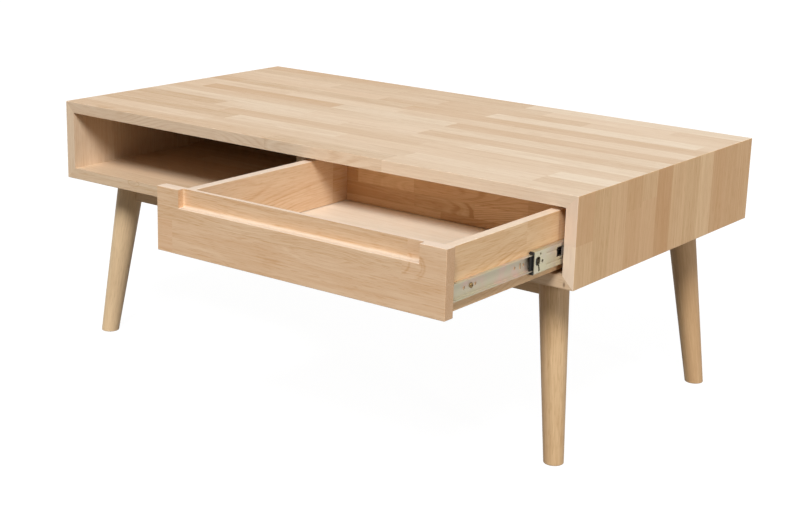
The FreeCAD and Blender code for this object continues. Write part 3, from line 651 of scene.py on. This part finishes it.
class ScrewTree:
    """A Geometry Nodes tree that sets a threaded, cross-recessed screw on each of its spots."""

    lengths: tuple[str, ...] = (
        "Head Diameter", "Under Diameter", "Head Height", "Crown", "Recess Span", "Recess Width",
        "Recess Depth", "Shank Diameter", "Shank Length", "Thread Pitch", "Thread Depth")
    crown_power: float = 4.0
    tip_share: float = 0.45
    sharp_degrees: float = 35.0

    def __init__(self) -> None:
        """Builds the tree with its named inputs."""
        self.tree = bpy.data.node_groups.new("cross_recessed_screws", "GeometryNodeTree")
        self.keys: dict[str, str] = {}
        self.ask("Spots", "NodeSocketGeometry")
        for label in self.lengths:
            self.ask(label, "NodeSocketFloat")
        self.ask("Facing", "NodeSocketVector")
        self.ask("Seed", "NodeSocketInt")
        self.ask("Finish", "NodeSocketMaterial")
        self.tree.interface.new_socket("Screws", in_out="OUTPUT", socket_type="NodeSocketGeometry")
        self.sheet = NodeSheet(self.tree)
        self.sheet.add("sizes", "NodeGroupInput")
        self.head()
        self.shank()
        self.spread()

    def ask(self, label: str, kind: str) -> None:
        """Adds an input and keeps its identifier."""
        self.keys[label] = self.tree.interface.new_socket(label, in_out="INPUT", socket_type=kind).identifier

    def half(self, name: str, label: str) -> None:
        """Adds a node that halves one of the sizes."""
        self.sheet.number(name, "MULTIPLY", f"@sizes.{label}", 0.5)

    def head(self) -> None:
        """Makes the head: a cone or disc with a crowned top, less two crossed slots."""
        sheet = self.sheet
        self.half("head_radius", "Head Diameter")
        self.half("under_radius", "Under Diameter")
        sheet.add("blank", "GeometryNodeMeshCone", {
            "Vertices": 40, "Side Segments": 3, "Fill Segments": 10, "Radius Top": "@head_radius",
            "Radius Bottom": "@under_radius", "Depth": "@sizes.Head Height"})
        sheet.add("head_place", "GeometryNodeInputPosition")
        sheet.add("head_axes", "ShaderNodeSeparateXYZ", {0: "@head_place"})
        sheet.add("flat_place", "ShaderNodeCombineXYZ", {0: "@head_axes.X", 1: "@head_axes.Y"})
        sheet.vector("reach", "LENGTH", "@flat_place")
        sheet.number("reach_share", "DIVIDE", "@reach.Value", "@head_radius")
        sheet.number("reach_bend", "POWER", "@reach_share", self.crown_power)
        sheet.number("drop_share", "MULTIPLY", "@reach_bend", "@sizes.Crown")
        sheet.number("drop", "MULTIPLY", "@drop_share", "@head_axes.Z")
        sheet.number("drop_down", "MULTIPLY", "@drop", -1.0)
        sheet.add("lowering", "ShaderNodeCombineXYZ", {2: "@drop_down"})
        sheet.add("crowned", "GeometryNodeSetPosition", {"Geometry": "@blank.Mesh", "Offset": "@lowering"})
        sheet.number("slot_height", "MULTIPLY", "@sizes.Recess Depth", 2.0)
        sheet.add("slot_size", "ShaderNodeCombineXYZ", {
            0: "@sizes.Recess Span", 1: "@sizes.Recess Width", 2: "@slot_height"})
        sheet.add("slot", "GeometryNodeMeshCube", {"Size": "@slot_size"})
        sheet.add("slot_seat", "ShaderNodeCombineXYZ", {2: "@sizes.Head Height"})
        for number, turn in enumerate((0.0, math.pi / 2)):
            sheet.add(f"slot_{number}", "GeometryNodeTransform", {
                "Geometry": "@slot.Mesh", "Translation": "@slot_seat", "Rotation": (0.0, 0.0, turn)})
        sheet.add("head", "GeometryNodeMeshBoolean", {
            "Mesh 1": "@crowned", "Mesh 2": ["@slot_0", "@slot_1"]}, operation="DIFFERENCE", solver="EXACT")

    def shank(self) -> None:
        """Makes the shank: a slim cone whose side rises in a spiral, turned to point away from the head."""
        sheet = self.sheet
        self.half("shank_radius", "Shank Diameter")
        sheet.number("core_radius", "SUBTRACT", "@shank_radius", "@sizes.Thread Depth")
        sheet.number("tip_radius", "MULTIPLY", "@core_radius", self.tip_share)
        sheet.add("core", "GeometryNodeMeshCone", {
            "Vertices": 20, "Side Segments": 60, "Fill Segments": 1, "Radius Top": "@tip_radius",
            "Radius Bottom": "@core_radius", "Depth": "@sizes.Shank Length"})
        sheet.add("core_place", "GeometryNodeInputPosition")
        sheet.add("core_axes", "ShaderNodeSeparateXYZ", {0: "@core_place"})
        sheet.add("core_flat", "ShaderNodeCombineXYZ", {0: "@core_axes.X", 1: "@core_axes.Y"})
        sheet.vector("outward", "NORMALIZE", "@core_flat")
        sheet.number("angle", "ARCTAN2", "@core_axes.Y", "@core_axes.X")
        sheet.number("rise", "DIVIDE", "@core_axes.Z", "@sizes.Thread Pitch")
        sheet.number("turns", "MULTIPLY_ADD", "@angle", 1 / math.tau, "@rise")
        sheet.number("ridge", "PINGPONG", "@turns", 0.5)
        sheet.number("ridge_height", "MULTIPLY", "@ridge", "@sizes.Thread Depth")
        sheet.number("ridge_full", "MULTIPLY", "@ridge_height", 2.0)
        sheet.add("ridge_reach", "ShaderNodeVectorMath", {
            0: "@outward", "Scale": "@ridge_full"}, operation="SCALE")
        sheet.add("threaded", "GeometryNodeSetPosition", {"Geometry": "@core.Mesh", "Offset": "@ridge_reach"})
        sheet.add("shank", "GeometryNodeTransform", {
            "Geometry": "@threaded", "Rotation": (math.pi, 0.0, 0.0)})

    def spread(self) -> None:
        """Sets a screw on every spot, each driven home at its own angle."""
        sheet = self.sheet
        sheet.add("screw", "GeometryNodeJoinGeometry", {0: ["@head.Mesh", "@shank"]})
        sheet.add("facing", "FunctionNodeEulerToRotation", {0: "@sizes.Facing"})
        sheet.add("placed", "GeometryNodeInstanceOnPoints", {
            "Points": "@sizes.Spots", "Instance": "@screw", "Rotation": "@facing"})
        sheet.add("driven", "FunctionNodeRandomValue", {
            2: 0.0, 3: math.tau, "Seed": "@sizes.Seed"}, data_type="FLOAT")
        sheet.add("driven_turn", "ShaderNodeCombineXYZ", {2: "@driven.1"})
        sheet.add("turned", "GeometryNodeRotateInstances", {
            "Instances": "@placed", "Rotation": "@driven_turn"})
        sheet.add("solid", "GeometryNodeRealizeInstances", {"Geometry": "@turned"})
        sheet.add("smooth", "GeometryNodeSetShadeSmooth", {0: "@solid"})
        sheet.add("dressed", "GeometryNodeSetMaterial", {"Geometry": "@smooth", "Material": "@sizes.Finish"})
        sheet.add("out", "NodeGroupOutput", {0: "@dressed"})

    def make(self, node: str, spots: list[Triple], sizes: ScrewSizes, facing: Facing,
             finish: bpy.types.Material) -> bpy.types.Object:
        """Runs the tree once and keeps its result as a plain mesh.

        Args:
            node: the solid whose screws these are.
            spots: where each head sits down.
            sizes: the kind of screw.
            facing: which way the heads look.
            finish: the screws' material.

        Returns:
            The object with all the screws.
        """
        mesh = bpy.data.meshes.new(f"{node}_spots")
        mesh.from_pydata(spots, [], [])
        screws = bpy.data.objects.new(f"{node}_threaded", mesh)
        bpy.context.scene.collection.objects.link(screws)
        modifier = screws.modifiers.new("screws", "NODES")
        modifier.node_group = self.tree
        for label, value in zip(self.lengths, astuple(sizes)):
            modifier[self.keys[label]] = value
        modifier[self.keys["Facing"]] = facing.value
        modifier[self.keys["Seed"]] = len(node)
        modifier[self.keys["Finish"]] = finish
        shown = screws.evaluated_get(bpy.context.evaluated_depsgraph_get())
        screws.data = bpy.data.meshes.new_from_object(shown)
        screws.modifiers.remove(modifier)
        screws.data.set_sharp_from_angle(angle=math.radians(self.sharp_degrees))
        return screws


@dataclass
class Case:
    """The mitred case: top, bottom, two ends, back and divider."""

    top_stave: float = 42.86 * MM
    top_stave_length: float = 0.36
    end_stave: float = 50 * MM
    end_stave_length: float = 0.31
    front_way: Triple = (0, -1, 0)
    # No part of the table is this high, so every front edge gets the routed tint, part painted highlight.
    above_all: float = 1.0
    top_knots: tuple[Knot, ...] = (
        Knot(110 * MM, 0.0, 8 * MM, 110 * MM, 17 * MM, rise=19 * MM, lines=0.17),
        Knot(330 * MM, 0.0, 13 * MM, 130 * MM, 18 * MM, rise=-21 * MM, lines=0.19),
        Knot(560 * MM, 0.0, 6 * MM, 120 * MM, 16 * MM, rise=18 * MM, lines=0.18))
    bottom_knots: tuple[Knot, ...] = (
        Knot(174.3 * MM, 0.0, 16 * MM, 14 * MM, 5 * MM, rise=4 * MM, core=0.06, rim=0.34),
        Knot(1083.7 * MM, 0.0, 7.2 * MM, 4.2 * MM, 9 * MM, core=1.0))

    def dress(self) -> None:
        """Dresses the case's boards and the pieces inside its joints."""
        flats = {"stave_width": self.top_stave, "stave_length": self.top_stave_length}
        ends = {"stave_width": self.end_stave, "stave_length": self.end_stave_length,
                "sanded_way": self.front_way}
        boards = {
            # The top pales toward the right, a painted gradient of light; its front edge gets a pale tint.
            "top_panel": oak_for("top_panel", Lay.ALONG_FLAT, TOP_TONE, seed=8787, paleness=0.35, spread=0.55,
                                 trend=0.30, sanded_way=self.front_way, sanded_from=self.above_all,
                                 routed=0.28, knots=self.top_knots, **flats),
            "bottom_panel": oak_for("bottom_panel", Lay.ALONG_FLAT, PALE_TONE, seed=1979,
                                    knots=self.bottom_knots, **flats),
            "left_panel": oak_for("left_panel", Lay.UP_DEEP, PALE_TONE, seed=1354, **ends),
            # The right end's front edges get a pale tint: part sanded wood, part painted highlight.
            "right_panel": oak_for("right_panel", Lay.UP_DEEP, END_TONE, seed=78, spread=0.6, sanded=0.5,
                                   **ends),
            # The back's darker tone is painted shade for the back of the niche.
            "back_panel": oak_for("back_panel", Lay.ALONG_UPRIGHT, BACK_SHADE_TONE, seed=14,
                                  stave_width=self.end_stave),
            "divider": oak_for("divider", Lay.UP_DEEP, PALE_TONE, seed=17, paleness=0.4, **ends),
        }
        for node, finish in boards.items():
            paint(node, finish.material())
        for node, lay in (("mitre_tongues", Lay.DEEP_UPRIGHT), ("divider_dowels", Lay.UP_DEEP),
                          ("back_dowels", Lay.DEEP_UPRIGHT)):
            paint(node, beech_for(node, lay).material())


@dataclass
class Legs:
    """Four turned legs and the two rails between them."""

    # Each leg's name, its end and side, and how pale it is: wood tone with painted light and shade.
    corners: tuple[tuple[str, int, int, float], ...] = (
        ("front_left_leg", -1, -1, 0.85), ("front_right_leg", 1, -1, 0.32), ("rear_left_leg", -1, 1, 0.5),
        ("rear_right_leg", 1, 1, 0.15))
    top: Triple = (0.466, 0.215, 0.305)
    foot: Triple = (0.503, 0.246, 0.0)
    middle: float = 0.1515
    blank_width: float = 26 * MM
    leg_seed: int = 21
    rail_seed: int = 31
    rail_screw_shares: tuple[float, ...] = (0.0, 0.3375, 0.6625, 1.0)

    def axes(self, right: int, back: int) -> tuple[Triple, Triple, Triple]:
        """Works out a leg's directions.

        Args:
            right: 1 for a right leg, -1 for a left one.
            back: 1 for a rear leg, -1 for a front one.

        Returns:
            The directions of its grain, its width and its thickness.
        """
        across, deep = self.top[0] - self.foot[0], self.top[1] - self.foot[1]
        grain = Vector((across * right, deep * back, self.top[2])).normalized()
        width = Vector((0, 1, 0)).cross(grain).normalized()
        return tuple(grain), tuple(width), tuple(grain.cross(width))

    def dress(self) -> None:
        """Dresses the legs with grain along each, and the rails."""
        for number, (node, right, back, paleness) in enumerate(self.corners):
            foot = (self.foot[0] * right, self.middle + self.foot[1] * back, 0.0)
            finish = OakFinish(f"oiled_oak_{node}", self.axes(right, back), foot, LEG_TONE,
                               seed=self.leg_seed + number, stave_width=self.blank_width, stave_length=3.0,
                               paleness=paleness, spread=0.12)
            paint(node, finish.material())
        for number, node in enumerate(("front_rail", "rear_rail")):
            finish = oak_for(node, Lay.ALONG_UPRIGHT, LEG_TONE, seed=self.rail_seed + number,
                             stave_width=0.09, stave_length=0.6)
            paint(node, finish.material())

    def build(self, tree: ScrewTree, steel: bpy.types.Material) -> None:
        """Puts recessed screws where the rails meet the case, and dresses the legs' bolts and inserts.

        Args:
            tree: what makes screws.
            steel: the finish of all these.
        """
        low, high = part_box("rail_screws")
        edge = RAIL_SCREW.head / 2
        seat = low[2] + RAIL_SCREW.height
        spots = [(low[0] + edge + share * (high[0] - low[0] - 2 * edge), across, seat)
                 for share in self.rail_screw_shares for across in (low[1] + edge, high[1] - edge)]
        screws = tree.make("rail_screws", spots, RAIL_SCREW, Facing.DOWN, steel)
        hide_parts("rail_screws")
        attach(screws, "table")
        LOG.info("made %s with %d screws", screws.name, len(spots))
        for node in ("leg_bolts", "leg_inserts"):
            paint(node, steel)


@dataclass
class Drawer:
    """The drawer box with its finger-recessed front."""

    front_stave: float = 52 * MM
    front_stave_length: float = 0.36
    side_stave: float = 93 * MM
    left_stave_length: float = 0.36
    right_stave_length: float = 0.24
    back_stave: float = 23.5 * MM
    back_stave_length: float = 0.17
    # The veneer's real streaks are about 2 mm wide, and are drawn at 7 mm so that they show.
    veneer_streak: float = 7 * MM
    # How much paler the up-facing rims and the recess's ledge are: worked wood and painted highlight.
    sanded: float = 0.45
    rim_level: float = 0.412
    routed: float = 0.75
    front_knots: tuple[Knot, ...] = (
        Knot(460 * MM, 70.5 * MM, 0.0, 17 * MM, 17 * MM, rise=4 * MM, rim=0.34, side=1),
        Knot(482 * MM, 67.5 * MM, 0.0, 16 * MM, 14 * MM, rise=3 * MM, rim=0.26, side=1),
        Knot(482 * MM, 67.5 * MM, 0.0, 20.5 * MM, 18 * MM, rim=0.3, side=1),
        Knot(330 * MM, 56 * MM, 0.0, 60 * MM, 20 * MM, rise=14 * MM, lines=0.12, side=1),
        Knot(150 * MM, 72 * MM, 0.0, 90 * MM, 22 * MM, rise=-14 * MM, lines=0.1))
    left_knots: tuple[Knot, ...] = (
        Knot(400 * MM, -10 * MM, 16 * MM, 300 * MM, 70 * MM, rise=48 * MM, lines=0.24, side=-1),)
    right_knots: tuple[Knot, ...] = (
        Knot(240 * MM, 15 * MM, 16 * MM, 140 * MM, 60 * MM, rise=30 * MM, lines=0.2, side=-1),)
    back_knots: tuple[Knot, ...] = (
        Knot(190 * MM, 52 * MM, 0.0, 120 * MM, 24 * MM, rise=26 * MM, lines=0.32, side=1),
        Knot(400 * MM, 22 * MM, 0.0, 130 * MM, 22 * MM, rise=-26 * MM, lines=0.34))

    def dress(self) -> None:
        """Dresses the drawer's boards and dowels."""
        rims = {"sanded": self.sanded, "sanded_from": self.rim_level, "routed": self.routed}
        sides = {"stave_width": self.side_stave, **rims}
        boards = {
            "drawer_front": oak_for("drawer_front", Lay.ALONG_UPRIGHT, DRAWER_TONE, seed=41, spread=0.12,
                                    stave_width=self.front_stave, stave_length=self.front_stave_length,
                                    knots=self.front_knots, **rims),
            "drawer_left_side": oak_for("drawer_left_side", Lay.DEEP_UPRIGHT, LEFT_SIDE_TONE, seed=1830,
                                        spread=0.45, stave_length=self.left_stave_length,
                                        knots=self.left_knots, **sides),
            "drawer_right_side": oak_for("drawer_right_side", Lay.DEEP_UPRIGHT, RIGHT_SIDE_TONE, seed=1785,
                                         spread=0.3, stave_length=self.right_stave_length,
                                         knots=self.right_knots, **sides),
            "drawer_back": oak_for("drawer_back", Lay.ALONG_UPRIGHT, INSIDE_TONE, seed=1461, paleness=0.27,
                                   spread=0.6, trend=1.2, stave_width=self.back_stave,
                                   stave_length=self.back_stave_length, knots=self.back_knots, **rims),
            "drawer_bottom": oak_for("drawer_bottom", Lay.ALONG_FLAT, VENEER_TONE, seed=55, stave_width=0.16,
                                     stave_length=2.0, spread=0.2, streak_width=self.veneer_streak),
        }
        for node, finish in boards.items():
            paint(node, finish.material())
        paint("drawer_dowels", beech_for("drawer_dowels", Lay.DEEP_UPRIGHT).material())


@dataclass
class Slides:
    """The two ball-bearing slides, each with three rails, cages, balls, a buffer, a lever and screws."""

    sides: tuple[tuple[str, Facing, Facing], ...] = (
        ("left", Facing.LEFT, Facing.RIGHT), ("right", Facing.RIGHT, Facing.LEFT))
    drawer_screw_shares: tuple[float, ...] = (0.0, 0.7605, 1.0)
    cabinet_screw_shares: tuple[float, ...] = (0.0, 0.5, 1.0)

    def dress(self) -> None:
        """Dresses the slides."""
        zinc, warm = ZINC.material(), WARM_ZINC.material()
        bright, black = BRIGHT_STEEL.material(), BLACK_ACETAL.material()
        for side, _, _ in self.sides:
            for piece in ("cabinet_rail", "drawer_rail", "outer_cage", "inner_cage"):
                paint(f"{side}_{piece}", zinc)
            paint(f"{side}_middle_rail", warm)
            for piece in ("outer_balls", "inner_balls"):
                paint(f"{side}_{piece}", bright)
            for piece in ("front_buffer", "release_lever"):
                paint(f"{side}_{piece}", black)

    def screw_row(self, tree: ScrewTree, node: str, shares: tuple[float, ...], sizes: ScrewSizes,
                  facing: Facing, body: str, steel: bpy.types.Material) -> None:
        """Puts one rail's screws where its solids are.

        Args:
            tree: what makes screws.
            node: the solids that the screws stand for.
            shares: where they stand between the first and the last.
            sizes: the kind of screw.
            facing: which way the heads look.
            body: what they move with.
            steel: their finish.
        """
        low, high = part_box(node)
        edge = sizes.head / 2
        face = high[0] if facing is Facing.RIGHT else low[0]
        sink = sizes.height if facing is Facing.LEFT else -sizes.height
        spots = [(face + sink, low[1] + edge + share * (high[1] - low[1] - 2 * edge), (low[2] + high[2]) / 2)
                 for share in shares]
        screws = tree.make(node, spots, sizes, facing, steel)
        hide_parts(node)
        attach(screws, body)
        LOG.info("made %s with %d screws", screws.name, len(spots))

    def build(self, tree: ScrewTree, steel: bpy.types.Material) -> None:
        """Puts recessed screws in the rails on the case and on the drawer.

        Args:
            tree: what makes screws.
            steel: their finish.
        """
        for side, outward, inward in self.sides:
            self.screw_row(tree, f"{side}_drawer_screws", self.drawer_screw_shares, PAN_SCREW, outward,
                           "drawer", steel)
            self.screw_row(tree, f"{side}_cabinet_screws", self.cabinet_screw_shares, FLAT_SCREW, inward,
                           "table", steel)


@dataclass
class Studio:
    """A white floor, soft light from above, a lamp in front, a weaker one at the right, and a camera."""

    floor_reach: float = 60.0
    floor_bounce: str = "#7A746B"
    floor_share: float = 0.89
    floor_glow: float = 1.09
    side_glow: float = 0.03
    top_glow: float = 0.28
    # Each lamp's name, its level, where it shines from, and how wide it looks in degrees.
    lamps: tuple[tuple[str, float, Triple, float], ...] = (
        ("key_lamp", 2.76, (0.43, -0.79, 1.0), 19.0), ("side_lamp", 0.74, (1.0, -0.28, 0.35), 12.0))
    focal_pixels: float = 1575.1
    yaw: float = 36.279
    pitch: float = 16.034
    roll: float = 1.658
    stand: Triple = (1.6652, -2.1118, 0.9827)
    sensor: float = 36.0
    far: float = 200.0

    def seen(self, sheet: NodeSheet) -> None:
        """Adds what tells the rays that show the background from those that light the object."""
        sheet.add("path", "ShaderNodeLightPath")
        sheet.number("seen_first", "MAXIMUM", "@path.Is Camera Ray", "@path.Is Glossy Ray")
        sheet.number("seen", "MAXIMUM", "@seen_first", "@path.Is Transmission Ray")

    def light(self) -> None:
        """Makes the soft light all round and the lamps."""
        world = bpy.data.worlds.new("studio_light")
        world.use_nodes = True
        bpy.context.scene.world = world
        sheet = NodeSheet(world.node_tree)
        self.seen(sheet)
        sheet.add("direction", "ShaderNodeTexCoord")
        sheet.add("direction_axes", "ShaderNodeSeparateXYZ", {0: "@direction.Generated"})
        sheet.number("glow", "MULTIPLY_ADD", "@direction_axes.Z", self.top_glow, self.side_glow)
        sheet.add("level", "ShaderNodeMix", {0: "@seen", 2: "@glow", 3: 1.0})
        sheet.add("air", "ShaderNodeBackground", {"Strength": "@level", "Color": linear(WHITE)})
        sheet.add("out", "ShaderNodeOutputWorld", {"Surface": "@air"})
        for name, level, shines_from, angle in self.lamps:
            lamp = bpy.data.lights.new(name, "SUN")
            lamp.energy = level
            lamp.angle = math.radians(angle)
            stand = bpy.data.objects.new(name, lamp)
            stand.rotation_euler = Vector(shines_from).to_track_quat("Z", "Y").to_euler()
            bpy.context.scene.collection.objects.link(stand)

    def floor(self) -> None:
        """Makes the white floor, which shows a faint shadow, and is clear to a camera below it."""
        reach = self.floor_reach
        mesh = bpy.data.meshes.new("studio_floor")
        corners = [(-reach, -reach, 0), (reach, -reach, 0), (reach, reach, 0), (-reach, reach, 0)]
        mesh.from_pydata(corners, [], [(0, 1, 2, 3)])
        plane = bpy.data.objects.new("studio_floor", mesh)
        bpy.context.scene.collection.objects.link(plane)
        made, sheet = blank_material("white_floor_paper")
        self.seen(sheet)
        sheet.add("paper", "ShaderNodeBsdfDiffuse", {"Color": linear(WHITE)})
        sheet.add("white", "ShaderNodeEmission", {"Color": linear(WHITE), "Strength": self.floor_glow})
        sheet.add("shown", "ShaderNodeMixShader", {0: self.floor_share, 1: "@paper", 2: "@white"})
        sheet.add("bounce", "ShaderNodeBsdfDiffuse", {"Color": linear(self.floor_bounce)})
        sheet.add("surface", "ShaderNodeMixShader", {0: "@seen", 1: "@bounce", 2: "@shown"})
        sheet.add("turned", "ShaderNodeNewGeometry")
        sheet.number("below", "MULTIPLY", "@turned.Backfacing", "@path.Is Camera Ray")
        sheet.add("clear", "ShaderNodeBsdfTransparent")
        sheet.add("one_sided", "ShaderNodeMixShader", {0: "@below", 1: "@surface", 2: "@clear"})
        sheet.add("out", "ShaderNodeOutputMaterial", {"Surface": "@one_sided"})
        mesh.materials.append(made)

    def camera(self) -> None:
        """Stands the camera where the photograph was taken from."""
        eye = bpy.data.cameras.new("studio_camera")
        eye.sensor_width = self.sensor
        eye.sensor_fit = "HORIZONTAL"
        eye.lens = self.focal_pixels / IMAGE_WIDTH * self.sensor
        eye.clip_end = self.far
        camera = bpy.data.objects.new("studio_camera", eye)
        heading = Matrix.Rotation(math.radians(self.yaw), 4, "Z")
        tilt = Matrix.Rotation(math.radians(90 - self.pitch), 4, "X")
        lean = Matrix.Rotation(math.radians(self.roll), 4, "Z")
        camera.matrix_world = Matrix.Translation(self.stand) @ heading @ tilt @ lean
        bpy.context.scene.collection.objects.link(camera)
        bpy.context.scene.camera = camera

    def build(self) -> None:
        """Makes the light, the floor and the camera, and shows colours as they are."""
        self.light()
        self.floor()
        self.camera()
        bpy.context.scene.view_settings.view_transform = "Standard"


def main() -> None:
    """Loads the solids, dresses them and sets the studio."""
    logging.basicConfig(level=logging.INFO, format="%(message)s")
    for left_over in list(bpy.data.objects):
        bpy.data.objects.remove(left_over)
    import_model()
    Studio().build()
    case, legs, drawer, slides = Case(), Legs(), Drawer(), Slides()
    for assembly in (case, legs, drawer, slides):
        assembly.dress()
    tree = ScrewTree()
    legs.build(tree, ZINC.material())
    slides.build(tree, BRASSY_ZINC.material())


if __name__ == "__main__":
    main()
